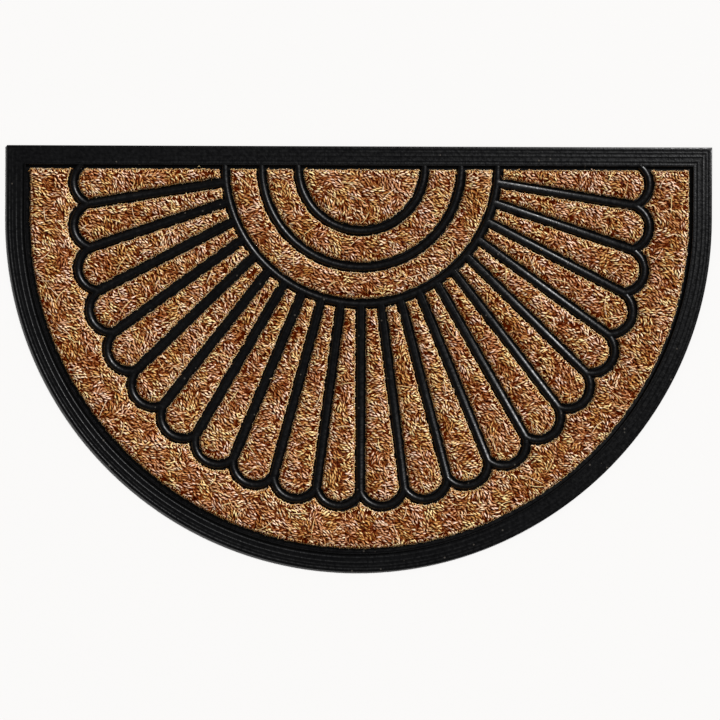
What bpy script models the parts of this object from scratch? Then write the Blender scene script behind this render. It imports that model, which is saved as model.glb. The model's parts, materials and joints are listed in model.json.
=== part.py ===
"""A half-round coir doormat: a black rubber moulding with coir pile in its cells.

The mat lies flat on Z = 0, with its straight edge towards +Y and its round edge towards -Y. The
origin is on the underside, at the middle of the bounding box. All sizes are in metres.

The moulding is one piece of rubber: a thin base sheet with a ribbed border and raised beads. The
beads draw a half sunburst. Three half rings stand on the middle of the straight edge, rays run
outwards from the third ring, and a scalloped edge joins the rays' outer ends. Each cell between
the beads holds its own block of coir pile, which stands higher than the rubber.
"""

import math

import bmesh
import bpy
import numpy as np

MM = 0.001

# Outline: a half circle with short straight sides and two square corners
WIDTH = 762 * MM
DEPTH = 460 * MM
OUTER_RADIUS = WIDTH / 2
STRAIGHT_EDGE_Y = DEPTH / 2
ROUND_CENTRE_Y = OUTER_RADIUS - DEPTH / 2

# Levels above the floor
SHEET_TOP = 2.5 * MM
BEAD_TOP = 7.0 * MM
RAY_TOP = 6.85 * MM
LIP_TOP = 7.1 * MM
COIR_TOP = 10 * MM
SEAT_GAP = 0.3 * MM

# Border, as distances in from the outer edge
BORDER_WIDTH = 25.4 * MM
EDGE_THICKNESS = 1.5 * MM
BEVEL_WIDTH = 2.8 * MM
BEVEL_TOP = 4.2 * MM
BORDER_SLOPE = 0.06
FIRST_RIB = 4.6 * MM
RIB_PITCH = 5.7 * MM
RIB_COUNT = 3
RIB_HALF_WIDTH = 1.2 * MM
RIB_HALF_FLAT = 0.6 * MM
RIB_HEIGHT = 1.2 * MM
LIP_PLACE = 20.4 * MM
LIP_HALF_WIDTH = 1.3 * MM
LIP_HALF_FLAT = 0.7 * MM

# Beads, with a half-round top on upright flanks
BEAD_HALF_WIDTH = 4.2 * MM
BEAD_FOOT = 1.2 * MM
BEAD_SHOULDER = 3.6 * MM
BEAD_FACETS = 6
CHANNEL_HALF_WIDTH = 5.6 * MM

# Level lines along the straight edge: the lip's crest, and the edge of the coir
LIP_Y = STRAIGHT_EDGE_Y - LIP_PLACE
COIR_EDGE_Y = STRAIGHT_EDGE_Y - BORDER_WIDTH

# Half rings. The whole fan lies a little to the right of the mat's middle, as photographed
FAN_SHIFT = 1.8 * MM
RING_DROP = 23.6 * MM
RING_CENTRE = np.array([FAN_SHIFT, STRAIGHT_EDGE_Y - RING_DROP])
RING_COUNT = 3
FIRST_RING = 68.2 * MM
RING_STEP = 39.5 * MM
RING_RADII = [FIRST_RING + RING_STEP * number for number in range(RING_COUNT)]

# Rays, counted from the middle one, and the scallops between them
RAYS_EACH_SIDE = 10
RAY_ANGLE = math.radians(8.38)
RAY_OVERRUN = 1.5 * MM
SCALLOP_INSET = 94.8 * MM
SCALLOP_PITCH = 46.5 * MM
SCALLOP_RADIUS = 24.8 * MM

# Coir pile
RIM_ROUNDING = 1.8 * MM
RIM_SEGMENTS = 2

# Round stretches are drawn with chords that leave the true arc by no more than this
ARC_TOLERANCE = 0.25 * MM
SHARP_ANGLE = math.radians(35)

RUBBER_COLOUR = (0.010, 0.010, 0.011, 1.0)
RUBBER_ROUGHNESS = 0.55
COIR_COLOUR = (0.30, 0.145, 0.055, 1.0)
COIR_ROUGHNESS = 0.9


def clear_scene():
    for existing in list(bpy.data.objects):
        bpy.data.objects.remove(existing, do_unlink=True)


def material(name, colour, roughness):
    made = bpy.data.materials.new(name)
    made.use_nodes = True
    shader = made.node_tree.nodes["Principled BSDF"]
    shader.inputs["Base Color"].default_value = colour
    shader.inputs["Roughness"].default_value = roughness
    shader.inputs["Metallic"].default_value = 0.0
    made.diffuse_color = colour
    return made


def unit(vector):
    return vector / np.linalg.norm(vector)


def left_of(direction):
    """The direction a quarter turn anticlockwise."""
    return np.array([-direction[1], direction[0]])


def arc(centre, radius, start, end):
    """Points on a circle from one angle to another, at chords within the tolerance."""
    widest = 2 * math.acos(1 - ARC_TOLERANCE / radius)
    steps = max(2, math.ceil(abs(end - start) / widest))
    angles = np.linspace(start, end, steps + 1)
    return centre + radius * np.column_stack([np.cos(angles), np.sin(angles)])


def arc_between(centre, start, end):
    """The anticlockwise arc about a centre from one point to another."""
    from_angle = math.atan2(*(start - centre)[::-1])
    to_angle = math.atan2(*(end - centre)[::-1])
    turn = (to_angle - from_angle) % math.tau
    return arc(centre, np.linalg.norm(start - centre), from_angle, from_angle + turn)


def far_crossing(point, direction, centre, radius):
    """Where a line leaves a circle, going along its direction."""
    along = np.dot(centre - point, direction)
    nearest = point + along * direction
    half_chord = math.sqrt(radius**2 - np.sum((nearest - centre) ** 2))
    return nearest + half_chord * direction


def outer_crossing(first, second, radius):
    """Where equal circles about two centres cross, on the right of the way from first to second."""
    half = np.linalg.norm(second - first) / 2
    outwards = -left_of(unit(second - first))
    return (first + second) / 2 + outwards * math.sqrt(radius**2 - half**2)


def outline_loop(inset):
    """The mat's outline, moved in by an inset: the round edge from left to right, then two corners."""
    centre = np.array([0.0, ROUND_CENTRE_Y])
    steps = len(arc(centre, OUTER_RADIUS, math.pi, math.tau))
    angles = np.linspace(math.pi, math.tau, steps)
    radius = OUTER_RADIUS - inset
    rounded = centre + radius * np.column_stack([np.cos(angles), np.sin(angles)])
    corner_y = STRAIGHT_EDGE_Y - inset
    return np.vstack([rounded, [radius, corner_y], [-radius, corner_y]])


def scallop_centre(number):
    """The centre of a scallop, spaced evenly along an inset copy of the outline. Half numbers count
    from the lowest point, and the last scallop each side lies on the straight part."""
    radius = OUTER_RADIUS - SCALLOP_INSET
    along = abs(number) * SCALLOP_PITCH
    angle = min(along / radius, math.pi / 2)
    past = max(along - radius * math.pi / 2, 0.0)
    across = math.copysign(radius * math.sin(angle), number)
    return np.array([FAN_SHIFT + across, ROUND_CENTRE_Y - radius * math.cos(angle) + past])


def ray_start(number):
    angle = number * RAY_ANGLE
    return RING_CENTRE + RING_RADII[-1] * np.array([math.sin(angle), -math.cos(angle)])


def ray_end(number):
    return outer_crossing(scallop_centre(number - 0.5), scallop_centre(number + 0.5), SCALLOP_RADIUS)


def level_crossing(edge_y, side, centre, radius):
    """Where a level line at edge_y leaves a circle, to the left for side -1 and to the right for 1."""
    return far_crossing(np.array([centre[0], edge_y]), np.array([side, 0.0]), centre, radius)


def ring_arc(radius, edge_y):
    """The part of a circle about the ring centre that lies below a line at edge_y, left to right."""
    left = level_crossing(edge_y, -1, RING_CENTRE, radius)
    right = level_crossing(edge_y, 1, RING_CENTRE, radius)
    return arc_between(RING_CENTRE, left, right)


def scallop_arc(number, radius, edge_y):
    """One scallop's arc at a radius, left to right, ended by its neighbours or by a line at edge_y."""
    centre = scallop_centre(number)
    last = RAYS_EACH_SIDE + 0.5
    if number == -last:
        start = level_crossing(edge_y, -1, centre, radius)
    else:
        start = outer_crossing(scallop_centre(number - 1), centre, radius)
    if number == last:
        end = level_crossing(edge_y, 1, centre, radius)
    else:
        end = outer_crossing(centre, scallop_centre(number + 1), radius)
    return arc_between(centre, start, end)


def scallop_numbers():
    return np.arange(-RAYS_EACH_SIDE, RAYS_EACH_SIDE + 2) - 0.5


def border_section():
    """The border's section as (inset, height), from the floor at its edge to the base sheet."""

    def slope(inset):
        return BEVEL_TOP + BORDER_SLOPE * (inset - BEVEL_WIDTH)

    section = [(0.0, 0.0), (0.0, EDGE_THICKNESS), (BEVEL_WIDTH, BEVEL_TOP)]
    for number in range(RIB_COUNT):
        crest = FIRST_RIB + number * RIB_PITCH
        for offset, height in (
            (-RIB_HALF_WIDTH, 0),
            (-RIB_HALF_FLAT, RIB_HEIGHT),
            (RIB_HALF_FLAT, RIB_HEIGHT),
            (RIB_HALF_WIDTH, 0),
        ):
            section.append((crest + offset, slope(crest + offset) + height))
    lip_foot = LIP_PLACE - LIP_HALF_WIDTH
    section.append((lip_foot, slope(lip_foot)))
    section.append((LIP_PLACE - LIP_HALF_FLAT, LIP_TOP))
    section.append((LIP_PLACE + LIP_HALF_FLAT, LIP_TOP))
    section.append((LIP_PLACE + LIP_HALF_WIDTH, SHEET_TOP))
    return section


def bead_section(top):
    """A bead's section as (across, height): flanks from inside the base sheet, and an oval top."""
    angles = np.linspace(0, math.pi, BEAD_FACETS + 1)
    across = BEAD_HALF_WIDTH * np.cos(angles)
    heights = BEAD_SHOULDER + (top - BEAD_SHOULDER) * np.sin(angles)
    feet = [(-BEAD_HALF_WIDTH, BEAD_FOOT), (BEAD_HALF_WIDTH, BEAD_FOOT)]
    return feet + list(zip(across, heights))


def mesh_object(name, build, finish, collection):
    """An object whose mesh is filled by build, with outward faces and its material."""
    mesh = bpy.data.meshes.new(name)
    shape = bmesh.new()
    build(shape)
    bmesh.ops.recalc_face_normals(shape, faces=shape.faces)
    shape.to_mesh(mesh)
    shape.free()
    mesh.materials.append(finish)
    made = bpy.data.objects.new(name, mesh)
    collection.objects.link(made)
    return made


def add_loop(shape, points, height):
    return [shape.verts.new((x, y, height)) for x, y in points]


def bridge(shape, first, second, closed):
    """Quads between two rows of as many vertices."""
    count = len(first) if closed else len(first) - 1
    for index in range(count):
        after = (index + 1) % len(first)
        shape.faces.new((first[index], first[after], second[after], second[index]))


def fill_tray(shape):
    """The border's section carried round the outline, with the base sheet inside it."""
    loops = [add_loop(shape, outline_loop(inset), height) for inset, height in border_section()]
    for outer, inner in zip(loops, loops[1:]):
        bridge(shape, outer, inner, closed=True)
    shape.faces.new(loops[0])
    shape.faces.new(loops[-1])


def fill_bar(path, top):
    """A builder for one bead: its section carried along a path, mitred at each bend."""
    directions = np.diff(path, axis=0)
    directions /= np.linalg.norm(directions, axis=1)[:, None]
    before = np.vstack([directions[:1], directions])
    after = np.vstack([directions, directions[-1:]])
    normals = np.array([left_of(unit(a + b)) for a, b in zip(before, after)])
    stretch = 1 / np.sum(normals * np.array([left_of(a) for a in before]), axis=1)

    def build(shape):
        stations = []
        for point, normal in zip(path, normals * stretch[:, None]):
            corners = [(*(point + normal * across), height) for across, height in bead_section(top)]
            stations.append([shape.verts.new(corner) for corner in corners])
        for first, second in zip(stations, stations[1:]):
            bridge(shape, first, second, closed=True)
        shape.faces.new(stations[0])
        shape.faces.new(stations[-1])

    return build


def fill_block(outline):
    """A builder for one block of pile: an upright block on the base sheet, with a rounded rim."""

    def build(shape):
        base = shape.faces.new(add_loop(shape, outline, SHEET_TOP + SEAT_GAP))
        lifted = bmesh.ops.extrude_face_region(shape, geom=[base])["geom"]
        top_vertices = [part for part in lifted if isinstance(part, bmesh.types.BMVert)]
        for vertex in top_vertices:
            vertex.co.z = COIR_TOP
        rim = [part for part in lifted if isinstance(part, bmesh.types.BMEdge)]
        bmesh.ops.bevel(
            shape, geom=rim, offset=RIM_ROUNDING, segments=RIM_SEGMENTS, profile=0.5, affect="EDGES"
        )

    return build


def bead_paths():
    """Each bead's name, centre line and height: half rings, rays and scallops."""
    paths = []
    for number, radius in enumerate(RING_RADII, 1):
        half_ring = arc(RING_CENTRE, radius, math.pi, math.tau)
        left, right = half_ring[0], half_ring[-1]
        path = np.vstack([[left[0], LIP_Y], half_ring, [right[0], LIP_Y]])
        paths.append((f"ring_{number}", path, BEAD_TOP))
    for number in range(-RAYS_EACH_SIDE, RAYS_EACH_SIDE + 1):
        start, end = ray_start(number), ray_end(number)
        overrun = RAY_OVERRUN * unit(end - start)
        paths.append((f"ray_{number}", np.array([start, end + overrun]), RAY_TOP))
    for number in scallop_numbers():
        paths.append((f"scallop_{number}", scallop_arc(number, SCALLOP_RADIUS, LIP_Y), BEAD_TOP))
    return paths


def rubber_moulding(rubber):
    """The tray with every bead joined to it, as one body."""
    moulding = mesh_object("rubber_moulding", fill_tray, rubber, bpy.context.scene.collection)
    beads = bpy.data.collections.new("beads")
    bpy.context.scene.collection.children.link(beads)
    for name, path, top in bead_paths():
        mesh_object(name, fill_bar(path, top), rubber, beads)
    join = moulding.modifiers.new("beads", "BOOLEAN")
    join.operation = "UNION"
    join.operand_type = "COLLECTION"
    join.collection = beads
    join.solver = "EXACT"
    graph = bpy.context.evaluated_depsgraph_get()
    moulding.data = bpy.data.meshes.new_from_object(moulding.evaluated_get(graph))
    moulding.modifiers.clear()
    for bead in list(beads.objects):
        bpy.data.objects.remove(bead, do_unlink=True)
    bpy.data.collections.remove(beads)
    return moulding


def half_disc_outline():
    return ring_arc(RING_RADII[0] - CHANNEL_HALF_WIDTH, COIR_EDGE_Y)


def band_outline(inner_ring, outer_ring):
    outer = ring_arc(outer_ring - CHANNEL_HALF_WIDTH, COIR_EDGE_Y)
    inner = ring_arc(inner_ring + CHANNEL_HALF_WIDTH, COIR_EDGE_Y)
    return np.vstack([outer, inner[::-1]])


def petal_side(number):
    """The line on which a petal's side lies, as a point and its outward direction. A ray gives the
    middle of its channel, and past the last ray the border gives the coir's own edge."""
    if abs(number) > RAYS_EACH_SIDE:
        return np.array([0.0, COIR_EDGE_Y]), np.array([math.copysign(1, number), 0.0]), 0.0
    start, end = ray_start(number), ray_end(number)
    return start, unit(end - start), CHANNEL_HALF_WIDTH


def petal_outline(number):
    """The cell between two rays: an arc along the third ring, two sides and a round outer end."""
    centre = scallop_centre(number)
    tip_radius = SCALLOP_RADIUS - CHANNEL_HALF_WIDTH
    ring_radius = RING_RADII[-1] + CHANNEL_HALF_WIDTH
    corners = []
    for ray, side in ((number - 0.5, 1), (number + 0.5, -1)):
        point, direction, clearance = petal_side(ray)
        shifted = point + side * clearance * left_of(direction)
        inner = far_crossing(shifted, direction, RING_CENTRE, ring_radius)
        outer = far_crossing(shifted, direction, centre, tip_radius)
        corners.append((inner, outer))
    (left_inner, left_outer), (right_inner, right_outer) = corners
    tip = arc_between(centre, left_outer, right_outer)
    ring_side = arc_between(RING_CENTRE, left_inner, right_inner)[::-1]
    return np.vstack([tip, ring_side])


def field_outline():
    """The cell round the scallops: the border's inner line, and the scallops' outer channel edges."""
    outer = outline_loop(BORDER_WIDTH)
    round_edge, right_corner, left_corner = outer[:-2], outer[-2], outer[-1]
    radius = SCALLOP_RADIUS + CHANNEL_HALF_WIDTH
    inner = []
    for number in scallop_numbers()[::-1]:
        inner.extend(scallop_arc(number, radius, COIR_EDGE_Y)[::-1][:-1])
    last = scallop_arc(scallop_numbers()[0], radius, COIR_EDGE_Y)[0]
    return np.vstack([[left_corner], round_edge, [right_corner], inner, [last]])


def coir_blocks(coir):
    outlines = {
        "coir_half_disc": half_disc_outline(),
        "coir_inner_band": band_outline(RING_RADII[0], RING_RADII[1]),
        "coir_outer_band": band_outline(RING_RADII[1], RING_RADII[2]),
        "coir_field": field_outline(),
    }
    for index, number in enumerate(scallop_numbers(), 1):
        outlines[f"coir_petal_{index:02d}"] = petal_outline(number)
    collection = bpy.context.scene.collection
    return [
        mesh_object(name, fill_block(outline), coir, collection) for name, outline in outlines.items()
    ]


def main():
    clear_scene()
    rubber = material("moulded black rubber", RUBBER_COLOUR, RUBBER_ROUGHNESS)
    coir = material("coir pile", COIR_COLOUR, COIR_ROUGHNESS)
    for made in [rubber_moulding(rubber), *coir_blocks(coir)]:
        made.data.shade_smooth()
        made.data.set_sharp_from_angle(angle=SHARP_ANGLE)


main()
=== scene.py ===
# %% [markdown]
# # A half-round coir doormat
#
# The mat is one black rubber moulding with coir pile in its cells. The imported CAD model gives every
# cell its outline and height. This lesson adds what the eye sees: the rubber's rounded ribs and
# beads, tens of thousands of coir fibres, the light and the camera. The first cell loads the packed
# model.

# %% The imported model
import json
import math

import bmesh
import bpy
import numpy as np
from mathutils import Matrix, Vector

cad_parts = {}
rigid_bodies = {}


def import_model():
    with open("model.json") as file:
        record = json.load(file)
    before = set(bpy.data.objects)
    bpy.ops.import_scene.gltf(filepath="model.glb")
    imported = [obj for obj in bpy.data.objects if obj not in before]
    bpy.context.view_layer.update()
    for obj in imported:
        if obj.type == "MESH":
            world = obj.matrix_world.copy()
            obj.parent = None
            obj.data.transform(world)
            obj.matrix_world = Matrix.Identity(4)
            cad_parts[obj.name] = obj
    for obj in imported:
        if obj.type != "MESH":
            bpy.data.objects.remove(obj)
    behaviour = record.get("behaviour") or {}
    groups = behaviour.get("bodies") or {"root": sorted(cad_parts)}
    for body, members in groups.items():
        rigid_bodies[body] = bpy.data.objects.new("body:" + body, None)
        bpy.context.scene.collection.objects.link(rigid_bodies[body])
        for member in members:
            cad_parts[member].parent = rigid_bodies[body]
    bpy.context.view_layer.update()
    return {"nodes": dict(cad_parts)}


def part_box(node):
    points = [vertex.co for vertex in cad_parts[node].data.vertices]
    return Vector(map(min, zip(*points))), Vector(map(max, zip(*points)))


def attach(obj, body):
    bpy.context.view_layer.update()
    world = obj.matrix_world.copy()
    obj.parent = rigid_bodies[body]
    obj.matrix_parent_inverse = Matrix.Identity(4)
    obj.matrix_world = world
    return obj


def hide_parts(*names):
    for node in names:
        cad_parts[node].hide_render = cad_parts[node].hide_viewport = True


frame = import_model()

MM = 0.001
TINY = 1e-9

# %% [markdown]
# ## Colours and nodes
#
# Colours are written as sRGB hex values, as a picture editor shows them. Blender's shaders work in
# linear light, so one function turns the first into the second. A second function adds a node with
# its settings and its links, and three short ones add the kinds that come back often. They keep each
# material below short enough to read.

# %% Helpers for materials
MIX_SHARE, MIX_FIRST, MIX_SECOND, MIX_RESULT = 0, 6, 7, 2


def linear(hex_colour):
    """An sRGB hex colour as linear RGBA: each channel through the sRGB transfer curve."""
    channels = [int(hex_colour[start:start + 2], 16) / 255 for start in (1, 3, 5)]
    return tuple(c / 12.92 if c <= 0.04045 else ((c + 0.055) / 1.055) ** 2.4 for c in channels) + (1.0,)


def add_node(tree, kind, inputs=None, stops=None, **settings):
    """One node with its own settings. An input that is another node's output is linked, and any
    other value is set on the socket. Stops are a colour ramp's places and hex colours."""
    made = tree.nodes.new(kind)
    for name, value in settings.items():
        setattr(made, name, value)
    for socket, value in (inputs or {}).items():
        if isinstance(value, bpy.types.NodeSocket):
            tree.links.new(value, made.inputs[socket])
        else:
            made.inputs[socket].default_value = value
    if stops:
        elements = made.color_ramp.elements
        while len(elements) < len(stops):
            elements.new(1.0)
        for element, (place, colour) in zip(elements, stops):
            element.position, element.color = place, linear(colour)
    return made


def maths(tree, operation, *values):
    """The output of a math node on one value or two."""
    return add_node(tree, "ShaderNodeMath", dict(enumerate(values)), operation=operation).outputs[0]


def mix_colours(tree, share, first, second, blend="MIX"):
    """The colour that a mix node gives. Several of its sockets have the same name, so those for
    colours are taken by their numbers."""
    inputs = {MIX_SHARE: share, MIX_FIRST: first, MIX_SECOND: second}
    made = add_node(tree, "ShaderNodeMix", inputs, data_type="RGBA", blend_type=blend)
    return made.outputs[MIX_RESULT]


def noise(tree, place, scale, detail):
    """The value of a noise texture, with the scale in cells per metre."""
    inputs = {"Vector": place, "Scale": scale, "Detail": detail}
    return add_node(tree, "ShaderNodeTexNoise", inputs).outputs["Fac"]


def new_material(name, **values):
    """An empty material with values on its shader's own sockets, and its shader and node tree."""
    made = bpy.data.materials.new(name)
    made.use_nodes = True
    shader = made.node_tree.nodes["Principled BSDF"]
    for socket, value in values.items():
        shader.inputs[socket.replace("_", " ")].default_value = value
    return made, shader, made.node_tree


def add_object(name, mesh, *materials):
    """A mesh as an object at the origin, with its materials."""
    made = bpy.data.objects.new(name, mesh)
    bpy.context.scene.collection.objects.link(made)
    for material in materials:
        mesh.materials.append(material)
    return made


print("mid grey is", linear("#808080"))

# %% [markdown]
# ## Camera, light and floor
#
# The photograph looks straight down, from far enough that the mat shows no convergence, so a long
# lens hangs over its middle. One key light comes from the upper right at about 45 degrees above the
# floor. It draws the bright rims of the pile and the thin lines on the rubber. The world gives only a
# faint fill, so the gaps between the fibres stay dark.

# %% Camera
IMAGE_WIDTH = 720
PIXEL = 1.0816 * MM
MAT_MIDDLE_PIXEL = (358.75, 359.2)
LENS = 100
SENSOR = 36
FAR_CLIP = 50
ROLL = math.radians(0.21)

distance = IMAGE_WIDTH * PIXEL * LENS / SENSOR
camera_data = bpy.data.cameras.new("camera above")
camera_data.lens = LENS
camera_data.sensor_width = SENSOR
camera_data.clip_end = FAR_CLIP
camera = bpy.data.objects.new("camera above", camera_data)
bpy.context.scene.collection.objects.link(camera)
middle_x, middle_y = MAT_MIDDLE_PIXEL
camera.location = ((IMAGE_WIDTH / 2 - middle_x) * PIXEL, (middle_y - IMAGE_WIDTH / 2) * PIXEL, distance)
camera.rotation_euler = (0, 0, ROLL)
bpy.context.scene.camera = camera
print("the camera hangs", round(distance, 3), "m above the floor")

# %% Light
KEY_AZIMUTH = math.radians(41)
KEY_ELEVATION = math.radians(46)
KEY_STRENGTH = 5.0
KEY_SPREAD = math.radians(9)
KEY_PLACE = (1.5, 1.0, 1.6)
FILL_STRENGTH = 0.13

key_data = bpy.data.lights.new("key light", "SUN")
key_data.energy = KEY_STRENGTH
key_data.angle = KEY_SPREAD
key = bpy.data.objects.new("key light", key_data)
key.rotation_euler = (0, math.pi / 2 - KEY_ELEVATION, KEY_AZIMUTH)
key.location = KEY_PLACE
bpy.context.scene.collection.objects.link(key)

world = bpy.data.worlds.new("fill light")
world.use_nodes = True
world.node_tree.nodes["Background"].inputs["Color"].default_value = (1, 1, 1, 1)
world.node_tree.nodes["Background"].inputs["Strength"].default_value = FILL_STRENGTH
bpy.context.scene.world = world
bpy.context.scene.view_settings.view_transform = "Standard"
print("key light", round(math.degrees(KEY_ELEVATION)), "degrees above the floor")

# %% Floor
HALF_FLOOR = 4.0

floor_mesh = bpy.data.meshes.new("floor")
corners = [(x * HALF_FLOOR, y * HALF_FLOOR, 0) for x, y in ((-1, -1), (1, -1), (1, 1), (-1, 1))]
floor_mesh.from_pydata(corners, [], [(0, 1, 2, 3)])
paint, _, _ = new_material("pale matt paint", Base_Color=linear("#e1e0df"), Roughness=0.9)
floor = add_object("floor", floor_mesh, paint)
print("floor", 2 * HALF_FLOOR, "m across")

# %% [markdown]
# ## The rubber moulding
#
# On the real mat one sheet of rubber is pressed in a mould that has the border's ribs and the beads
# of the sunburst cut into it. The CAD node has that shape with few faces and plain ribs. Here the
# sections are carried along the same paths with more points, so that the light runs along each bead
# as one smooth line. Seen from the outer edge, a rib rises slowly and falls quickly behind its crest,
# like a low wave. Its back is a thin bright line where it faces the light, and a thin dark one where it
# faces away. The mat's sizes come first, in the real mat's millimetres.

# %% Sizes of the moulding
lowest, highest = (np.array(corner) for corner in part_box("rubber_moulding"))
WIDTH, DEPTH = (highest - lowest)[:2]
OUTER_RADIUS = WIDTH / 2
STRAIGHT_EDGE_Y = highest[1]
ROUND_CENTRE_Y = lowest[1] + OUTER_RADIUS

SHEET_TOP = 2.5 * MM
FAN_SHIFT = 1.8 * MM
RING_CENTRE = np.array([FAN_SHIFT, STRAIGHT_EDGE_Y - 23.6 * MM])
RING_RADII = np.array([68.2, 107.7, 147.2]) * MM
RAYS_EACH_SIDE = 10
RAY_ANGLE = math.radians(8.38)
SCALLOP_INSET = 94.8 * MM
SCALLOP_PITCH = 46.5 * MM
SCALLOP_RADIUS = 24.8 * MM
CHORD_ERROR = 0.04 * MM
print("moulding", round(WIDTH / MM), "by", round(DEPTH / MM), "mm")

# %% Sections
OUTER_EDGE = [(0, 0), (0, 2.6), (0.08, 2.9), (0.3, 3.2), (0.8, 3.5), (1.6, 3.62)]
RIBS = [(2.9, 3.78, 0.32), (6.1, 3.68, 0.2), (10.2, 3.85, 0.34), (15.6, 3.9, 0.32)]
RIB_BACK = 1.4
RIB_POINTS = 6
LIP_PLACE = 20.4 * MM
LIP = [
    (19.0, 4.0), (19.4, 5.6), (19.85, 6.9), (20.1, 7.1),
    (20.9, 7.1), (21.05, 6.95), (21.2, 6.3), (21.6, 2.5),
]
BEAD_HALF_WIDTH = 4.2 * MM
BEAD_FOOT = 1.2 * MM
BEAD_SHOULDER = 2.5 * MM
BEAD_TOP = 7.0 * MM
RAY_SHOULDER = 4.2 * MM
RAY_TOP = 6.85 * MM
RAY_OVERRUN = 1.5 * MM
ROUND_POINTS = 11


def border_section():
    """The border as (inset, height): up the outer edge, over the ribs and the lip, down to the sheet.
    A rib (crest, top, fall) rises from the foot of the one before it as u^1.5, with u from 0 to 1 at
    its crest, and falls behind it by fall (1 - (1 - u)^2), with u from 0 to 1 over its back."""
    parts = [np.array(OUTER_EDGE)]
    u = np.linspace(0, 1, RIB_POINTS + 1)[1:]
    for crest, top, fall in RIBS:
        start, foot = parts[-1][-1]
        parts.append(np.column_stack([start + (crest - start) * u, foot + (top - foot) * u ** 1.5]))
        parts.append(np.column_stack([crest + RIB_BACK * u, top - fall * (1 - (1 - u) ** 2)]))
    parts.append(np.array(LIP))
    return np.vstack(parts) * MM


def bead_section(shoulder, top):
    """A bead as (across, height): flanks that start inside the sheet, and a half-round top, which is
    -r cos a across and shoulder + (top - shoulder) sin a up."""
    turn = np.linspace(0, math.pi, ROUND_POINTS)
    height = shoulder + (top - shoulder) * np.sin(turn)
    over = np.column_stack([-BEAD_HALF_WIDTH * np.cos(turn), height])
    return np.vstack([[-BEAD_HALF_WIDTH, BEAD_FOOT], over, [BEAD_HALF_WIDTH, BEAD_FOOT]])


print("points in the border's section", len(border_section()), "and over a bead", ROUND_POINTS)

# %% Paths in plan
def arc(centre, radius, start, end):
    """Points on a circle: centre + r (cos a, sin a), at an even number of chords within the error."""
    steps = 2 * math.ceil(abs(end - start) / (4 * math.acos(1 - CHORD_ERROR / radius)))
    turn = np.linspace(start, end, steps + 1)
    return centre + radius * np.column_stack([np.cos(turn), np.sin(turn)])


def angle_of(vector):
    """A vector's angle from the x axis."""
    return math.atan2(vector[1], vector[0])


def outline_loop(inset):
    """The outline moved in: a half circle from left to right, and the two square corners."""
    turn = np.linspace(math.pi, math.tau, len(arc(0, OUTER_RADIUS, math.pi, math.tau)))
    radius = OUTER_RADIUS - inset
    rounded = np.column_stack([radius * np.cos(turn), ROUND_CENTRE_Y + radius * np.sin(turn)])
    corner_y = STRAIGHT_EDGE_Y - inset
    return np.vstack([rounded, [radius, corner_y], [-radius, corner_y]])


def scallop_centres():
    """Centres spaced along an inset copy of the outline, counted each way from its lowest point.
    On the round part the angle is length / radius, and past a quarter turn the line runs straight up."""
    numbers = np.arange(-RAYS_EACH_SIDE, RAYS_EACH_SIDE + 2) - 0.5
    radius = OUTER_RADIUS - SCALLOP_INSET
    along = np.abs(numbers) * SCALLOP_PITCH
    turn = np.minimum(along / radius, math.pi / 2)
    past = np.maximum(along - radius * math.pi / 2, 0)
    across = np.sign(numbers) * radius * np.sin(turn)
    return np.column_stack([FAN_SHIFT + across, ROUND_CENTRE_Y - radius * np.cos(turn) + past])


def bead_paths():
    """The middle line, shoulder and top of every bead: three half rings, the scallops, and a ray from
    the third ring to each outer crossing of two neighbouring scallops."""
    lip_y = STRAIGHT_EDGE_Y - LIP_PLACE
    paths = []
    for radius in RING_RADII:
        half_ring = arc(RING_CENTRE, radius, math.pi, math.tau)
        left, right = FAN_SHIFT - radius, FAN_SHIFT + radius
        ring = np.vstack([[left, lip_y], half_ring, [right, lip_y]])
        paths.append((ring, BEAD_SHOULDER, BEAD_TOP))
    centres = scallop_centres()
    half = (centres[1:] - centres[:-1]) / 2
    gap = np.linalg.norm(half, axis=1)[:, None]
    outwards = np.column_stack([half[:, 1], -half[:, 0]]) / gap
    crossings = centres[:-1] + half + outwards * np.sqrt(SCALLOP_RADIUS ** 2 - gap ** 2)
    half_chord = math.sqrt(SCALLOP_RADIUS ** 2 - (lip_y - centres[0, 1]) ** 2)
    left, right = centres[0, 0] - half_chord, centres[-1, 0] + half_chord
    ends = np.vstack([[left, lip_y], crossings, [right, lip_y]])
    for centre, start, end in zip(centres, ends, ends[1:]):
        first, last = angle_of(start - centre), angle_of(end - centre)
        scallop = arc(centre, SCALLOP_RADIUS, first, first + (last - first) % math.tau)
        paths.append((scallop, BEAD_SHOULDER, BEAD_TOP))
    turn = np.arange(-RAYS_EACH_SIDE, RAYS_EACH_SIDE + 1) * RAY_ANGLE
    starts = RING_CENTRE + RING_RADII[-1] * np.column_stack([np.sin(turn), -np.cos(turn)])
    for start, end in zip(starts, crossings):
        direction = (end - start) / np.linalg.norm(end - start)
        paths.append((np.array([start, end + direction * RAY_OVERRUN]), RAY_SHOULDER, RAY_TOP))
    return paths


paths = bead_paths()
print("beads", len(paths))

# %% Swept surfaces
def face_outwards(mesh):
    """The same mesh with all its faces turned outwards."""
    shape = bmesh.new()
    shape.from_mesh(mesh)
    bmesh.ops.recalc_face_normals(shape, faces=shape.faces)
    shape.to_mesh(mesh)
    shape.free()
    return mesh


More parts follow.
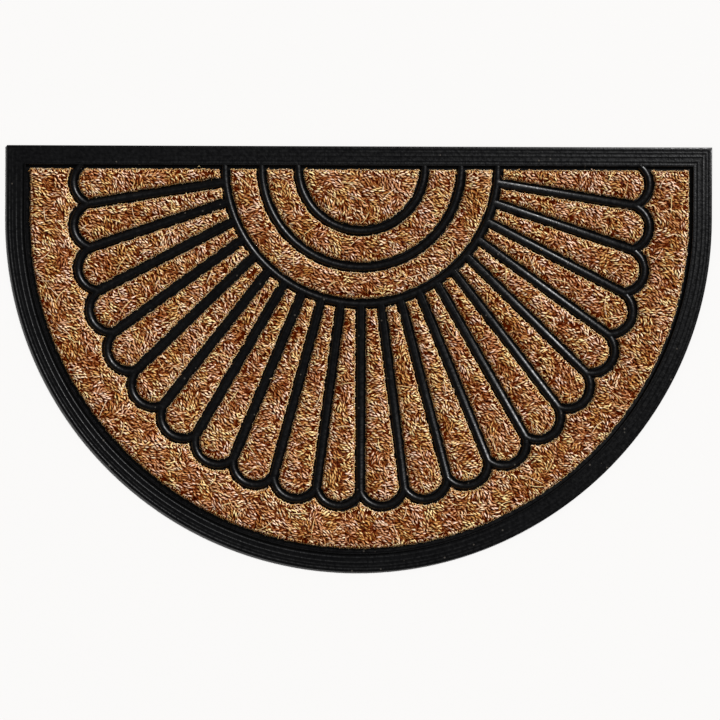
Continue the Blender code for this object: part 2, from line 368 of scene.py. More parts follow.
def swept_mesh(name, points):
    """A closed mesh from rows of points: quads between the rows, each of which closes up, and the
    first and the last row as end caps."""
    rows, columns = points.shape[:2]
    row, column = np.arange(rows - 1)[:, None] * columns, np.arange(columns)[None, :]
    below, beside = row + columns, (column + 1) % columns
    quads = np.stack([row + column, row + beside, below + beside, below + column], axis=2)
    caps = [list(range(columns)), list(range((rows - 1) * columns, rows * columns))]
    mesh = bpy.data.meshes.new(name)
    mesh.from_pydata(points.reshape(-1, 3).tolist(), [], quads.reshape(-1, 4).tolist() + caps)
    return face_outwards(mesh)


def border_mesh():
    """The tray: row by row the outline at the section's insets and heights. The underside and the
    sheet below the pile close its ends."""
    loops = [(outline_loop(inset), height) for inset, height in border_section()]
    rows = [np.column_stack([loop, np.full(len(loop), height)]) for loop, height in loops]
    return swept_mesh("rubber_moulding_fine", np.array(rows))


def bead_mesh(path, shoulder, top):
    """A bead: at each point of the path the section stands across the mean of the two directions
    there, stretched by 1 / cos of half the bend, so that the bead keeps its width."""
    steps = np.diff(path, axis=0)
    steps /= np.linalg.norm(steps, axis=1)[:, None]
    before, after = np.vstack([steps[:1], steps]), np.vstack([steps, steps[-1:]])
    mean = before + after
    mean /= np.linalg.norm(mean, axis=1)[:, None]
    normal = np.column_stack([-mean[:, 1], mean[:, 0]]) / np.sum(mean * before, axis=1)[:, None]
    section = bead_section(shoulder, top)
    plan = path[:, None] + normal[:, None] * section[None, :, :1]
    heights = np.broadcast_to(section[None, :, 1:], plan.shape[:2] + (1,))
    return swept_mesh("bead", np.concatenate([plan, heights], axis=2))


print("the tray has", len(border_section()), "rows of", len(outline_loop(0)), "points")

# %% Beads fused to the tray
SHARP_ANGLE = math.radians(38)

moulding = add_object("rubber_moulding_fine", border_mesh())
beads = bpy.data.collections.new("beads")
for path, shoulder, top in paths:
    beads.objects.link(bpy.data.objects.new("bead", bead_mesh(path, shoulder, top)))
bpy.context.scene.collection.children.link(beads)
join = moulding.modifiers.new("beads", "BOOLEAN")
join.operation, join.operand_type, join.collection, join.solver = "UNION", "COLLECTION", beads, "EXACT"
fused = bpy.data.meshes.new_from_object(moulding.evaluated_get(bpy.context.evaluated_depsgraph_get()))
moulding.modifiers.clear()
moulding.data = fused
for bead in list(beads.objects):
    bpy.data.objects.remove(bead, do_unlink=True)
bpy.data.collections.remove(beads)
fused.shade_smooth()
fused.set_sharp_from_angle(angle=SHARP_ANGLE)
fused.calc_loop_triangles()
print("moulding triangles", len(fused.loop_triangles))

# %% [markdown]
# ## The rubber's finish
#
# The rubber is a carbon-black compound, almost black in itself. Out of the mould it has a satin skin,
# so a bead shows one bright line and the flat parts stay dark. Use scuffs it, and its roughness then
# varies over a few millimetres. Natural rubber has an IOR of about 1.52. The mould leaves a fine grain,
# drawn at about two millimetres here so that it shows. A little pale dust from the coir lies on it.

# %% Rubber material
DUST_SCALE = 160.0
DUST_RADIUS = 0.16
DUST_RARITY = 0.93
GRAIN_HEIGHT = 0.3 * MM

rubber, shader, tree = new_material("moulded black rubber", IOR=1.52, Specular_IOR_Level=0.2)
place = add_node(tree, "ShaderNodeTexCoord").outputs["Object"]
blotch = noise(tree, place, scale=35.0, detail=5.0)
skin = add_node(tree, "ShaderNodeValToRGB", {"Fac": blotch}, [(0.3, "#030304"), (0.75, "#070708")])
dust = add_node(tree, "ShaderNodeTexVoronoi", {"Vector": place, "Scale": DUST_SCALE})
near = maths(tree, "LESS_THAN", dust.outputs["Distance"], DUST_RADIUS)
choice = add_node(tree, "ShaderNodeSeparateColor", {"Color": dust.outputs["Color"]})
rare = maths(tree, "GREATER_THAN", choice.outputs["Red"], DUST_RARITY)
speck = maths(tree, "MULTIPLY", near, rare)
dusty = mix_colours(tree, speck, skin.outputs["Color"], linear("#3f3b36"))
tree.links.new(dusty, shader.inputs["Base Color"])
scuffs = noise(tree, place, scale=260.0, detail=3.0)
gloss = add_node(
    tree,
    "ShaderNodeMapRange",
    {"Value": scuffs, "From Min": 0.35, "From Max": 0.65, "To Min": 0.26, "To Max": 0.42},
)
tree.links.new(gloss.outputs["Result"], shader.inputs["Roughness"])
grain = noise(tree, place, scale=500.0, detail=3.0)
bump = add_node(tree, "ShaderNodeBump", {"Height": grain, "Strength": 0.6, "Distance": GRAIN_HEIGHT})
tree.links.new(bump.outputs["Normal"], shader.inputs["Normal"])

fused.materials.clear()
fused.materials.append(rubber)
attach(moulding, "root")
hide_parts("rubber_moulding")
print("rubber material on", moulding.name)

# %% [markdown]
# ## The coir cells
#
# Coir is the fibre of the coconut's husk, stiff and golden brown. On this mat it stands as a short,
# dense pile in the cells between the beads. Hair particles could make it, but the pile would not keep
# its clear lie, so every fibre is a small closed mesh worked out with numpy. Each CAD cell tells where
# its pile stands: the triangles of its flat bottom give the outline.

# %% Cells read from the CAD nodes
BOTTOM_ERROR = 0.05 * MM
WELD_STEP = 0.01 * MM


def read_cell(node):
    """A cell's bottom as corner points in plan and triangles, with the outline's edges, which only
    one triangle has, and each edge's direction into the cell, towards that triangle's third corner."""
    mesh = node.data
    mesh.calc_loop_triangles()
    points = np.empty(len(mesh.vertices) * 3, np.float32)
    mesh.vertices.foreach_get("co", points)
    corners = np.empty(len(mesh.loop_triangles) * 3, np.int32)
    mesh.loop_triangles.foreach_get("vertices", corners)
    triangles = points.reshape(-1, 3).astype(float)[corners.reshape(-1, 3)]
    bottom = triangles[:, :, 2].max(axis=1) < triangles[:, :, 2].min() + BOTTOM_ERROR
    flat = triangles[bottom][:, :, :2].reshape(-1, 2)
    welded = np.round(flat / WELD_STEP)
    _, first, names = np.unique(welded, axis=0, return_index=True, return_inverse=True)
    plan, names = flat[first], names.reshape(-1, 3)
    turns = np.concatenate([names, np.roll(names, -1, axis=1), np.roll(names, -2, axis=1)])
    sides = np.sort(turns[:, :2], axis=1)
    _, index, counts = np.unique(sides, axis=0, return_index=True, return_counts=True)
    start, end, third = turns[index[counts == 1]].T
    step = plan[end] - plan[start]
    inwards = np.column_stack([-step[:, 1], step[:, 0]]) / np.linalg.norm(step, axis=1)[:, None]
    inwards *= np.sign(np.sum((plan[third] - plan[start]) * inwards, axis=1))[:, None]
    return {"plan": plan, "triangles": names, "start": start, "end": end, "inwards": inwards}


def inset_in(points, cell, chunk=4000):
    """How far each point lies inside a cell, negative outside, and the direction into the cell from
    the nearest edge. A point is inside if a line from it crosses the outline an odd number of times."""
    start = cell["plan"][cell["start"]]
    step = cell["plan"][cell["end"]] - start
    length_2 = np.sum(step ** 2, axis=1)
    insets, inwards = np.empty(len(points)), np.empty((len(points), 2))
    slope = step[:, 0] / np.where(step[:, 1] == 0, 1, step[:, 1])
    for low in range(0, len(points), chunk):
        part = points[low:low + chunk, None, :]
        along = np.clip(np.sum((part - start) * step, axis=2) / length_2, 0, 1)
        away = part - (start + along[:, :, None] * step)
        gaps = np.sum(away ** 2, axis=2)
        nearest = (np.arange(len(gaps)), np.argmin(gaps, axis=1))
        gap = np.sqrt(gaps[nearest])
        spans = (start[:, 1] > part[:, :, 1]) != (start[:, 1] + step[:, 1] > part[:, :, 1])
        beyond = part[:, :, 0] < start[:, 0] + (part[:, :, 1] - start[:, 1]) * slope
        sign = np.where(np.sum(spans & beyond, axis=1) % 2 == 1, 1.0, -1.0)
        insets[low:low + chunk] = gap * sign
        inwards[low:low + chunk] = away[nearest] / np.maximum(gap, TINY)[:, None] * sign[:, None]
    return insets, inwards


cells = {name: read_cell(node) for name, node in frame["nodes"].items() if name.startswith("coir_")}
print("cells", len(cells), "corners in the largest", max(len(cell["plan"]) for cell in cells.values()))

# %% [markdown]
# ## The lie of the pile
#
# The pile isn't even: fibres lie side by side in tufts about a centimetre across, and each tuft has
# its own direction, height and shade, on top of a slower drift over a few centimetres. So seeds are put
# on an uneven brick grid, and the strokes are a turned lattice round each seed, kept where that seed is
# the nearest. Most tufts lie down towards the lower right, across the light, which picks them out.

# %% Random grids and fields
SEED = 27
random = np.random.default_rng(SEED)


def brick_grid(pitch, low, high, jitter):
    """Points on a brick grid, each moved at random within its share of the pitch."""
    x, y = np.meshgrid(np.arange(low[0], high[0], pitch[0]), np.arange(low[1], high[1], pitch[1]))
    x = x + (np.arange(len(y)) % 2)[:, None] * pitch[0] / 2
    points = np.stack([x, y], axis=2).reshape(-1, 2)
    return points + random.uniform(-jitter, jitter, points.shape) * pitch


def nearest_of(points, seeds, chunk=4000):
    """The index of the seed nearest to each point."""
    found = np.empty(len(points), np.int64)
    seeds = seeds.astype(np.float32)
    for low in range(0, len(points), chunk):
        part = points[low:low + chunk].astype(np.float32)
        gaps = (part[:, None, 0] - seeds[None, :, 0]) ** 2 + (part[:, None, 1] - seeds[None, :, 1]) ** 2
        found[low:low + chunk] = np.argmin(gaps, axis=1)
    return found


def directions(angle):
    """Unit vectors at angles, and those a quarter turn on."""
    along = np.stack([np.cos(angle), np.sin(angle)], axis=-1)
    return along, np.stack([-along[..., 1], along[..., 0]], axis=-1)


def drift(points, wavelength, waves=5):
    """A smooth random field from about -1 to 1: the mean of sine waves in random directions."""
    turn = random.uniform(0, math.tau, waves)
    length = wavelength * random.uniform(0.7, 1.4, waves)
    ways = np.stack([np.cos(turn), np.sin(turn)]) * math.tau / length
    return np.sin(points @ ways + random.uniform(0, math.tau, waves)).sum(axis=1) / math.sqrt(waves)


print("random draws start from seed", SEED)

# %% Tufts and strokes
HUES = 3
TUFT_PITCH = np.array([12.5, 10.5]) * MM
TUFT_JITTER = np.array([0.35, 0.22])
TUFT_REACH = 11 * MM
MAIN_LIE = math.radians(-30)
LIE_DRIFT = math.radians(22)
LIE_SPREAD = math.radians(21)
TONE_DRIFT = 0.05
TONE_SPREAD = 0.12
HUE_DRIFT = 0.4
HUE_SPREAD = 0.2
HEIGHT_SPREAD = 0.5 * MM
STROKE_STEP = 5.5 * MM
STROKE_GAP = 2.3 * MM
STROKE_SHIFT = 0.3 * MM
UNDER_PITCH = np.array([2.9, 2.9]) * MM
UNDER_JITTER = 0.45

tufts = brick_grid(TUFT_PITCH, lowest[:2] - TUFT_REACH, highest[:2] + TUFT_REACH, TUFT_JITTER)
tuft_angle = MAIN_LIE + LIE_DRIFT * drift(tufts, 55 * MM)
tuft_angle = tuft_angle + random.normal(0, LIE_SPREAD, len(tufts))
tuft_tone = random.normal(0.0, TONE_SPREAD, len(tufts)) + TONE_DRIFT * drift(tufts, 45 * MM)
tuft_height = random.normal(0.0, HEIGHT_SPREAD, len(tufts))
tuft_hue = drift(tufts, 32 * MM) + HUE_DRIFT * drift(tufts, 150 * MM)
tuft_hue = tuft_hue + random.normal(0, HUE_SPREAD, len(tufts))

low_corner, high_corner = (-TUFT_REACH, -TUFT_REACH), (TUFT_REACH, TUFT_REACH)
lattice = brick_grid((STROKE_STEP, STROKE_GAP), low_corner, high_corner, 0.0)
along, across = directions(tuft_angle)
strokes = tufts[:, None] + along[:, None] * lattice[None, :, :1] + across[:, None] * lattice[None, :, 1:]
strokes = strokes.reshape(-1, 2)
stroke_tuft = np.repeat(np.arange(len(tufts)), len(lattice))
own = nearest_of(strokes, tufts) == stroke_tuft
strokes, stroke_tuft = strokes[own], stroke_tuft[own]
strokes = strokes + random.normal(0, STROKE_SHIFT, strokes.shape)
under_places = brick_grid(UNDER_PITCH, lowest[:2], highest[:2], UNDER_JITTER)
print("tufts", len(tufts), "strokes", len(strokes))

# %% [markdown]
# ## Fibres
#
# A fibre is a bent sliver, pointed at both ends, with a low crest along it. Its middle line is a
# quadratic curve with three control points, and rings of three points give it its width and crest.
# With one or two rings that is 6 or 12 triangles, few enough for tens of thousands of fibres. Only the
# few long hairs have six rings. The UV map holds what the colour needs: the fibre's tone runs across
# it, and its hue and the place along it run up it.

# %% Fibre meshes
FIBRE_SECTION = np.array([(0.0, 0.2), (-0.5, -0.1), (0.5, -0.1)])
FIBRE_SIDES = len(FIBRE_SECTION)
TONE_STEP = 0.01
RIM_MARGIN = 0.01
FIBRE_SHARP_ANGLE = math.radians(75)


def fibre_arrays(control, normal, width, tone, hue, rings, ends=(0.0, 1.0)):
    """Points, triangles and UVs of many fibres. A middle line point is (1-t)^2 A + 2t(1-t) B + t^2 C,
    and a ring stands across the line from A to C with its crest towards the pile's normal. The ends
    are the places on the colour ramp along a fibre that its two tips take: 0 and 1 are dark with
    painted shade."""
    count = len(control)
    t = np.arange(1, rings + 1) / (rings + 1)
    share = np.column_stack([(1 - t) ** 2, 2 * t * (1 - t), t ** 2])
    middle = np.einsum("rk,nkc->nrc", share, control)
    tangent = control[:, 2] - control[:, 0]
    tangent /= np.linalg.norm(tangent, axis=1)[:, None]
    side = np.cross(tangent, normal)
    side /= np.maximum(np.linalg.norm(side, axis=1), TINY)[:, None]
    upper = np.cross(side, tangent)
    spokes = FIBRE_SECTION[:, :1] * side[:, None] + FIBRE_SECTION[:, 1:] * upper[:, None]
    ring = middle[:, :, None] + spokes[:, None] * width[:, None, None, None]
    points = np.concatenate([control[:, :1], ring.reshape(count, -1, 3), control[:, 2:]], axis=1)
    k = np.arange(FIBRE_SIDES)
    after = (k + 1) % FIBRE_SIDES
    tip, last_ring = 1 + rings * FIBRE_SIDES, 1 + (rings - 1) * FIBRE_SIDES
    faces = [np.column_stack([0 * k, 1 + after, 1 + k])]
    faces.append(np.column_stack([0 * k + tip, last_ring + k, last_ring + after]))
    for low in range(1, last_ring, FIBRE_SIDES):
        high = low + FIBRE_SIDES
        faces.append(np.column_stack([low + k, low + after, high + after]))
        faces.append(np.column_stack([low + k, high + after, high + k]))
    faces = np.concatenate(faces)
    triangles = (faces[None] + (np.arange(count) * points.shape[1])[:, None, None]).reshape(-1, 3)
    across = np.concatenate([[0.5], np.tile(k / 2, rings), [0.5]]) * TONE_STEP
    up = np.concatenate([[0.0], np.repeat(t, FIBRE_SIDES), [1.0]])
    up = (ends[0] + (ends[1] - ends[0]) * up) * (1 - 2 * RIM_MARGIN) + RIM_MARGIN
    u = np.clip(tone, 0, 1 - TONE_STEP)[:, None] + across
    v = (hue[:, None] + up) / HUES
    return points.reshape(-1, 3), triangles, np.stack([u, v], axis=2).reshape(-1, 2)


def fibre_mesh(name, batches):
    """One mesh of several batches of fibres, with the UV map of tone and place."""
    shift = np.cumsum([0] + [len(points) for points, _, _ in batches])
    points = np.concatenate([batch[0] for batch in batches])
    triangles = np.concatenate([batch[1] + low for batch, low in zip(batches, shift)])
    uv = np.concatenate([batch[2] for batch in batches])[triangles.reshape(-1)]
    mesh = bpy.data.meshes.new(name)
    mesh.vertices.add(len(points))
    mesh.vertices.foreach_set("co", points.reshape(-1).astype(np.float32))
    mesh.loops.add(triangles.size)
    mesh.loops.foreach_set("vertex_index", triangles.reshape(-1).astype(np.int32))
    mesh.polygons.add(len(triangles))
    mesh.polygons.foreach_set("loop_start", (np.arange(len(triangles)) * 3).astype(np.int32))
    mesh.uv_layers.new(name="OFBake").data.foreach_set("uv", uv.reshape(-1).astype(np.float32))
    mesh.update(calc_edges=True)
    mesh.shade_smooth()
    mesh.set_sharp_from_angle(angle=FIBRE_SHARP_ANGLE)
    return mesh


print("triangles in a fibre of 1, 2 or 6 rings", [2 * FIBRE_SIDES * rings for rings in (1, 2, 6)])

# %% [markdown]
# ## Layers of the pile
#
# Five layers make the pile. Fibres lie every way low in it and fill the gaps; their dark tone is
# painted shade. Upright ones make its wall along the outline of a cell, and short pale ones lean out
# over its shoulder. On top are the strokes that show: two fibres side by side, arched so that both ends
# dive back into the pile. Every layer follows the pile's height, which falls towards the outline. The
# crests stand across that slope, so the rims that face the light are bright and those that face away
# from it are dark. A few long hairs that worked loose lie across it all.

# %% Height of the pile
COIR_TOP = 10 * MM
SHOULDER_WIDTH = 9.0 * MM
SHOULDER_DROP = 4.1 * MM
RIM_WIDTH = 1.6 * MM
RIM_DROP = 1.0 * MM


def top_height(inset):
    """The pile's height at an inset i: lower by D (1 - i / W)^2 over the wide shoulder, and by
    R (1 - i / r)^2 over the narrow rim."""
    shoulder = (1 - np.clip(inset / SHOULDER_WIDTH, 0, 1)) ** 2
    rim = (1 - np.clip(inset / RIM_WIDTH, 0, 1)) ** 2
    return COIR_TOP - SHOULDER_DROP * shoulder - RIM_DROP * rim


def pile_normal(inset, inwards, dome=0.0):
    """The direction that a fibre's crest takes: across the slope of top_height, which is
    2 D / W (1 - i / W) + 2 R / r (1 - i / r), and of the tuft's own dome."""
    shoulder = 2 * SHOULDER_DROP / SHOULDER_WIDTH * (1 - np.clip(inset / SHOULDER_WIDTH, 0, 1))
    rim = 2 * RIM_DROP / RIM_WIDTH * (1 - np.clip(inset / RIM_WIDTH, 0, 1))
    slope = inwards * (shoulder + rim)[:, None] + dome
    return np.column_stack([-slope, np.ones(len(slope))])


print("pile height", round(COIR_TOP / MM, 1), "mm,", round(top_height(0.0) / MM, 1), "mm at its rim")

# %% Bundles of fibres
BUNDLE_TURN = math.radians(6)
BUNDLE_SHIFT = 0.4 * MM
LEAST_SHARE = 0.25


def bundles(cell, middle, angle, length, bend, size, spread, margin):
    """Fibres side by side: control points in plan, their insets, the direction into the cell and
    each one's bundle. An end that comes nearer the outline than the margin is drawn back along its
    fibre by the share that lies past it."""
    index = np.repeat(np.arange(len(middle)), size)
    slot = np.tile(np.arange(size) - (size - 1) / 2, len(middle))
    along, across = directions(angle[index] + random.normal(0, BUNDLE_TURN, len(index)))
    place = middle[index] + across * (slot * spread)[:, None]
    place = place + along * random.normal(0, BUNDLE_SHIFT, len(index))[:, None]
    half = along * (length[index] * random.uniform(0.85, 1.1, len(index)) / 2)[:, None]
    bent = place + across * bend[index][:, None]
    plan = np.stack([place - half, bent, place + half], axis=1)
    inset, inwards = inset_in(plan.reshape(-1, 2), cell)
    inset, inwards = inset.reshape(-1, 3), inwards.reshape(-1, 3, 2)[:, 1]
    centre = np.maximum(inset[:, 1:2], margin)
    share = np.clip((centre - margin) / np.maximum(centre - inset, TINY), LEAST_SHARE, 1.0)
    plan = plan[:, 1:2] + (plan - plan[:, 1:2]) * share[:, :, None]
    return plan, np.maximum(centre + (inset - centre) * share, margin), inwards, index


def with_heights(plan, heights):
    """Control points in space. No fibre goes below the sheet that the pile is set in."""
    return np.concatenate([plan, np.maximum(heights, SHEET_TOP)[:, :, None]], axis=2)


def inside_of(points, cell, margin):
    """The indices of the points that lie in a cell by a margin."""
    corner = cell["plan"]
    near = np.flatnonzero(np.all((points > corner.min(axis=0)) & (points < corner.max(axis=0)), axis=1))
    return near[inset_in(points[near], cell)[0] > margin]


print("one fibre in a bundle turns by about", round(math.degrees(BUNDLE_TURN)), "degrees")

# %% Layers across a cell
FIBRE_WIDTH = 0.75 * MM
STROKE_LENGTH = 6.6 * MM
STROKE_TONE = 0.71
STROKE_ARCH = np.array([-1.9, 0.9, -1.5]) * MM
STROKE_TURN = math.radians(14)
CLUMP_SIZE = 9 * MM
CLUMP_HEIGHT = 0.5 * MM
CLUMP_TONE = 0.17
HUE_EDGES = (-0.5, 0.5)
TUFT_CREASE = 1.3 * MM
DEEPEST_CREASE = 1.8
PAINTED_CREASE_SHADE = 0.05
PAINTED_RIM_LIGHT = 0.19
UNDER_DEPTH = 1.6 * MM
UNDER_SHADE_TONE = 0.24
UNDER_ARCH = np.array([-2.0, 0.6, -1.5]) * MM
PALE_HUES = 2
STRAY_EVERY = 5
STRAY_WIDTH = 0.5 * MM
STRAY_LENGTHS = (12, 26)
STRAY_TONE = 0.93
STRAY_ARCH = np.array([-0.3, 1.8, -0.3]) * MM


def under_layer(cell):
    """Fibres low in the pile, lying every way, two in a bundle, dark with painted shade."""
    middle = under_places[inside_of(under_places, cell, margin=1.0 * MM)]
    count = len(middle)
    angle, length = random.uniform(0, math.pi, count), STROKE_LENGTH * random.uniform(0.7, 1.1, count)
    bend = random.normal(0, 0.8 * MM, count)
    plan, inset, inwards, index = bundles(
        cell, middle, angle, length, bend, size=2, spread=0.85 * MM, margin=0.6 * MM
    )
    level = top_height(inset) + random.normal(-UNDER_DEPTH, 0.3 * MM, count)[index][:, None]
    control = with_heights(plan, level + UNDER_ARCH)
    # Painted shade: the low fibres get a dark tone, which darkens the gaps between the strokes.
    tone = UNDER_SHADE_TONE + random.normal(0, 0.1, count)[index] + random.normal(0, 0.06, len(index))
    width = FIBRE_WIDTH * random.uniform(1.0, 1.4, len(index))
    hue = random.integers(0, HUES, len(index))
    return fibre_arrays(control, pile_normal(inset[:, 1], inwards), width, tone, hue, rings=1)


def stroke_layer(cell):
    """The strokes that show, two in a bundle. A tuft is highest in its middle and lower by its crease
    at its edges, where its strokes get painted shade. Strokes near the cell's outline are paler,
    painted light on the rim."""
    chosen = inside_of(strokes, cell, margin=0.7 * MM)
    middle, tuft = strokes[chosen], stroke_tuft[chosen]
    count = len(middle)
    angle = tuft_angle[tuft] + random.normal(0, STROKE_TURN, count)
    length, bend = STROKE_LENGTH * random.uniform(0.7, 1.25, count), random.normal(0, 0.9 * MM, count)
    plan, inset, inwards, index = bundles(
        cell, middle, angle, length, bend, size=2, spread=0.52 * MM, margin=0.3 * MM
    )
    away = (plan - tufts[tuft][index][:, None]) / (TUFT_PITCH / 2)
    crease = np.minimum(np.sum(away ** 2, axis=2), DEEPEST_CREASE)
    level = top_height(inset) + TUFT_CREASE * (0.5 - crease)
    level = level + random.normal(0, 0.2 * MM, len(index))[:, None]
    clump = drift(middle, CLUMP_SIZE)
    lift = tuft_height[tuft] + CLUMP_HEIGHT * clump + random.normal(0, 0.4 * MM, count)
    control = with_heights(plan, level + lift[index][:, None] + STROKE_ARCH)
    tone = (STROKE_TONE + tuft_tone[tuft] + CLUMP_TONE * clump + random.normal(0, 0.12, count))[index]
    # Painted shade: strokes deep in a tuft's crease get a darker tone.
    tone = tone + random.normal(0, 0.08, len(index)) - PAINTED_CREASE_SHADE * (crease[:, 1] - 0.5)
    # Painted light: strokes are paler towards the cell's outline, which brightens the rim.
    tone = tone + PAINTED_RIM_LIGHT * (1 - np.clip(inset[:, 1] / SHOULDER_WIDTH, 0, 1) ** 2)
    hue = np.digitize(tuft_hue[tuft] + random.normal(0, 0.35, count), HUE_EDGES)[index]
    width = FIBRE_WIDTH * random.uniform(0.85, 1.15, len(index))
    dome = -2 * TUFT_CREASE * away[:, 1] / (TUFT_PITCH / 2)
    normal = pile_normal(inset[:, 1], inwards, dome)
    return fibre_arrays(control, normal, width, tone, hue, rings=2, ends=(0.0, 0.88))


def stray_layer(cell):
    """A few long pale hairs, each lying across the pile in one bow."""
    chosen = inside_of(tufts, cell, margin=4 * MM)[::STRAY_EVERY]
    middle = tufts[chosen] + random.normal(0, 2 * MM, (len(chosen), 2))
    count = len(middle)
    angle, length = random.uniform(0, math.pi, count), random.uniform(*STRAY_LENGTHS, count) * MM
    bend = random.normal(0, 4 * MM, count)
    plan, inset, inwards, _ = bundles(
        cell, middle, angle, length, bend, size=1, spread=0.0, margin=0.8 * MM
    )
    control = with_heights(plan, top_height(inset) + STRAY_ARCH)
    tone = STRAY_TONE + random.normal(0, 0.05, count)
    normal, width = pile_normal(inset[:, 1], inwards), np.full(count, STRAY_WIDTH)
    hue = random.integers(0, PALE_HUES, count)
    return fibre_arrays(control, normal, width, tone, hue, rings=6, ends=(0.2, 0.8))


print("strokes are about", round(STROKE_LENGTH / MM, 1), "mm long")

# %% Layers along a cell's outline
SHOULDER_SPACING = 1.7 * MM
SHOULDER_TONE = 0.71
SHOULDER_ARCH = np.array([-0.4, 0.3, -0.9]) * MM
WALL_SPACING = 0.95 * MM
WALL_TONE = 0.82
WALL_INSETS = (0.4, 0.0, 1.2)
WALL_WAVE = 0.35
WALL_WAVELENGTH = 11 * MM
WALL_TILT = 0.2
WALL_FOOT = 2.9
WALL_BENDS = (5.4, 6.8)
WALL_TIPS = (6.8, 8.0)


def along_outline(cell, spacing):
    """Points spaced evenly along a cell's outline, with the directions along it and into the cell."""
    start = cell["plan"][cell["start"]]
    step = cell["plan"][cell["end"]] - start
    length = np.linalg.norm(step, axis=1)
    passed = np.cumsum(length) - length
    places = np.arange(0, length.sum(), spacing)
    edge = np.searchsorted(passed, places, side="right") - 1
    share = (places - passed[edge]) / length[edge]
    way = step[edge] / length[edge][:, None]
    return start[edge] + step[edge] * share[:, None], way, cell["inwards"][edge]


def shoulder_layer(cell):
    """Fibres that lean outwards over the pile's shoulder, from a few millimetres in to the rim."""
    points, along, inwards = along_outline(cell, SHOULDER_SPACING)
    count = len(points)
    points = points + inwards * random.uniform(0.2, 1.2, count)[:, None] * MM
    way = inwards + along * random.normal(0, 0.5, count)[:, None]
    far = points + way * random.uniform(2.2, 4.6, count)[:, None] * MM
    plan = np.stack([points, (points + far) / 2, far], axis=1)
    inset = np.maximum(inset_in(plan.reshape(-1, 2), cell)[0], 0.2 * MM).reshape(-1, 3)
    level = top_height(inset) + random.normal(-0.1 * MM, 0.3 * MM, count)[:, None]
    control = with_heights(plan, level + SHOULDER_ARCH)
    tone = SHOULDER_TONE + random.normal(0, 0.2, count)
    width = FIBRE_WIDTH * random.uniform(0.9, 1.3, count)
    hue = random.integers(0, PALE_HUES, count)
    normal = pile_normal(inset[:, 1], inwards)
    return fibre_arrays(control, normal, width, tone, hue, rings=2, ends=(0.4, 0.85))


def wall_layer(cell):
    """Upright fibres that make the pile's wall and bend in over its rim. Their three points stand at
    the wall's insets and heights, which are in millimetres."""
    points, along, inwards = along_outline(cell, WALL_SPACING)
    count = len(points)
    lean = along * random.normal(0, 0.9, count)[:, None] * MM
    shift = random.normal(0, 0.38, count) + WALL_WAVE * drift(points, WALL_WAVELENGTH)
    foot, bend, tip = (points + inwards * (shift + inset)[:, None] * MM for inset in WALL_INSETS)
    plan = np.stack([foot - lean, bend, tip + lean], axis=1)
    bends, tips = random.uniform(*WALL_BENDS, count), random.uniform(*WALL_TIPS, count)
    heights = np.column_stack([np.full(count, WALL_FOOT), bends, tips]) * MM
    tone = WALL_TONE + random.normal(0, 0.2, count)
    width = FIBRE_WIDTH * random.uniform(1.1, 1.6, count)
    normal = np.column_stack([-inwards, np.full(count, WALL_TILT)])
    hue = random.integers(0, PALE_HUES, count)
    control = with_heights(plan, heights)
    return fibre_arrays(control, normal, width, tone, hue, rings=2, ends=(0.0, 0.65))


print("upright fibres stand every", round(WALL_SPACING / MM, 2), "mm")

# %% [markdown]
# ## The coir's finish
#
# Coir is a hard, slightly waxy husk fibre: matt from afar with a faint glint along it. Its colour runs
# from red-brown to pale straw, fibre by fibre. Towards its tips, where it dives into the pile, each
# fibre is painted darker and redder: painted shade and painted bounce light, since little light gets
# there but what other fibres pass on. All of it is read from the UV map, so the colour belongs to the
# fibre and not to a place in space.

# %% Coir material
COIR_TONES = [
    (0.0, "#420d00"), (0.3, "#82430e"), (0.55, "#c28e5d"), (0.8, "#deb792"), (1.0, "#f6e4ce"),
]
COIR_HUES = [(0.0, "#fff8c8"), (1 / HUES, "#fff5e2"), (2 / HUES, "#ffeee9")]
COIR_END_SHADE = [
    (0.0, "#551500"), (0.17, "#c09a7c"), (0.34, "#ffffff"),
    (0.66, "#ffffff"), (0.83, "#c09a7c"), (1.0, "#551500"),
]

coir, shader, tree = new_material("combed coir fibre", Roughness=0.62, IOR=1.45, Specular_IOR_Level=0.15)
uv = add_node(tree, "ShaderNodeUVMap", uv_map="OFBake")
parts = add_node(tree, "ShaderNodeSeparateXYZ", {"Vector": uv.outputs["UV"]})
tone = add_node(tree, "ShaderNodeValToRGB", {"Fac": parts.outputs["X"]}, COIR_TONES)
hue = add_node(tree, "ShaderNodeValToRGB", {"Fac": parts.outputs["Y"]}, COIR_HUES)
hue.color_ramp.interpolation = "CONSTANT"
along_fibre = maths(tree, "FRACT", maths(tree, "MULTIPLY", parts.outputs["Y"], float(HUES)))
# Painted shade: this ramp darkens and reddens each fibre towards its tips, where it dives into the pile.
ends = add_node(tree, "ShaderNodeValToRGB", {"Fac": along_fibre}, COIR_END_SHADE)
tinted = mix_colours(tree, 1.0, tone.outputs["Color"], hue.outputs["Color"], "MULTIPLY")
shaded = mix_colours(tree, 1.0, tinted, ends.outputs["Color"], "MULTIPLY")
tree.links.new(shaded, shader.inputs["Base Color"])
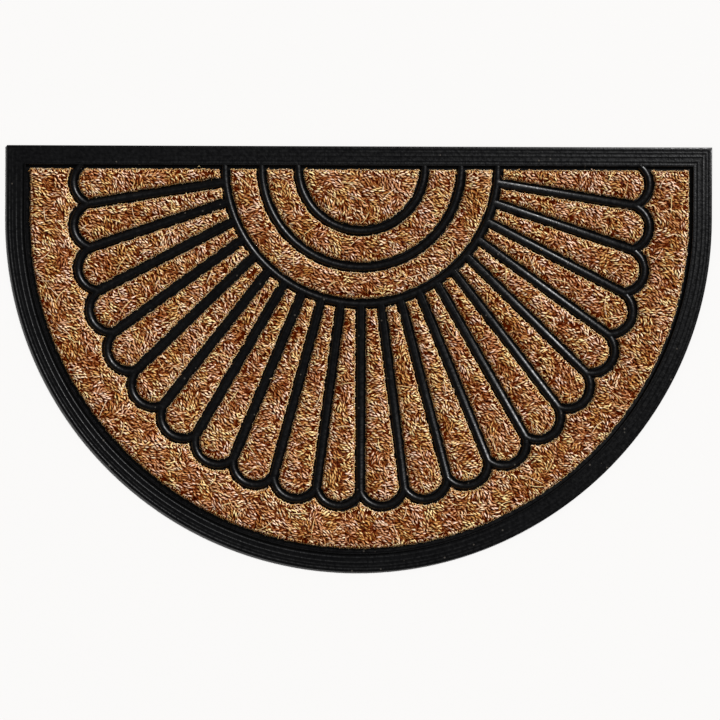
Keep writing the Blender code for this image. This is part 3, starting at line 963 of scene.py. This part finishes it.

# The ground's dark red-brown, mottled by noise, is painted shade for the deep gaps between the fibres.
ground_shade_paint, shader, tree = new_material("coir ground in painted shade", Roughness=0.9, Specular_IOR_Level=0.0)
place = add_node(tree, "ShaderNodeTexCoord").outputs["Object"]
shade_mottle = noise(tree, place, scale=300.0, detail=4.0)
ground_shade_colour = add_node(tree, "ShaderNodeValToRGB", {"Fac": shade_mottle}, [(0.3, "#240500"), (0.7, "#501500")])
tree.links.new(ground_shade_colour.outputs["Color"], shader.inputs["Base Color"])
print("coir tones and hues", len(tone.color_ramp.elements), HUES)

# %% [markdown]
# ## Pile and ground of every cell
#
# Under its fibres each cell has a ground, a little inside the outline and below the tips, so no light
# shows through. Its dark red-brown is painted shade for the deep gaps between the fibres. It takes the
# CAD cell's own corners and triangles: three rings, each the outline moved in, with the bottom's
# triangles again at the top.

# %% Building the cells
GROUND_RINGS = ((0.9 * MM, 2.8 * MM), (0.9 * MM, 6.0 * MM), (2.1 * MM, 7.0 * MM))
MITRE_LIMIT = 0.8


def ground_mesh(name, cell):
    """A closed block: the outline's corners moved in by i along the mean of their edges' directions,
    over cos of half the turn, at heights z, for each ring (i, z)."""
    count = len(cell["plan"])
    mean = np.zeros((count, 2))
    np.add.at(mean, cell["start"], cell["inwards"])
    np.add.at(mean, cell["end"], cell["inwards"])
    mitre = 2 * mean / np.maximum(np.sum(mean ** 2, axis=1), MITRE_LIMIT)[:, None]
    rings = [np.column_stack([cell["plan"] + mitre * i, np.full(count, z)]) for i, z in GROUND_RINGS]
    faces = [cell["triangles"], cell["triangles"] + 2 * count]
    for low in (0, count):
        a, b = cell["start"] + low, cell["end"] + low
        faces += [np.column_stack([a, b, b + count]), np.column_stack([a, b + count, a + count])]
    mesh = bpy.data.meshes.new(name)
    mesh.from_pydata(np.concatenate(rings).tolist(), [], np.concatenate(faces).tolist())
    return face_outwards(mesh)


total, largest = 0, 0
for name, cell in cells.items():
    pile_name, base_name, ground_name = f"{name}_pile", f"{name}_base", f"{name}_ground"
    top_layers = [stroke_layer(cell), shoulder_layer(cell), stray_layer(cell)]
    pile = add_object(pile_name, fibre_mesh(pile_name, top_layers), coir)
    base = add_object(base_name, fibre_mesh(base_name, [under_layer(cell), wall_layer(cell)]), coir)
    ground = add_object(ground_name, ground_mesh(ground_name, cell), ground_shade_paint)
    for piece in (pile, base, ground):
        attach(piece, "root")
        total += len(piece.data.polygons)
        largest = max(largest, len(piece.data.polygons))
    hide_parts(name)
print("coir triangles", total, "and in the largest piece", largest)
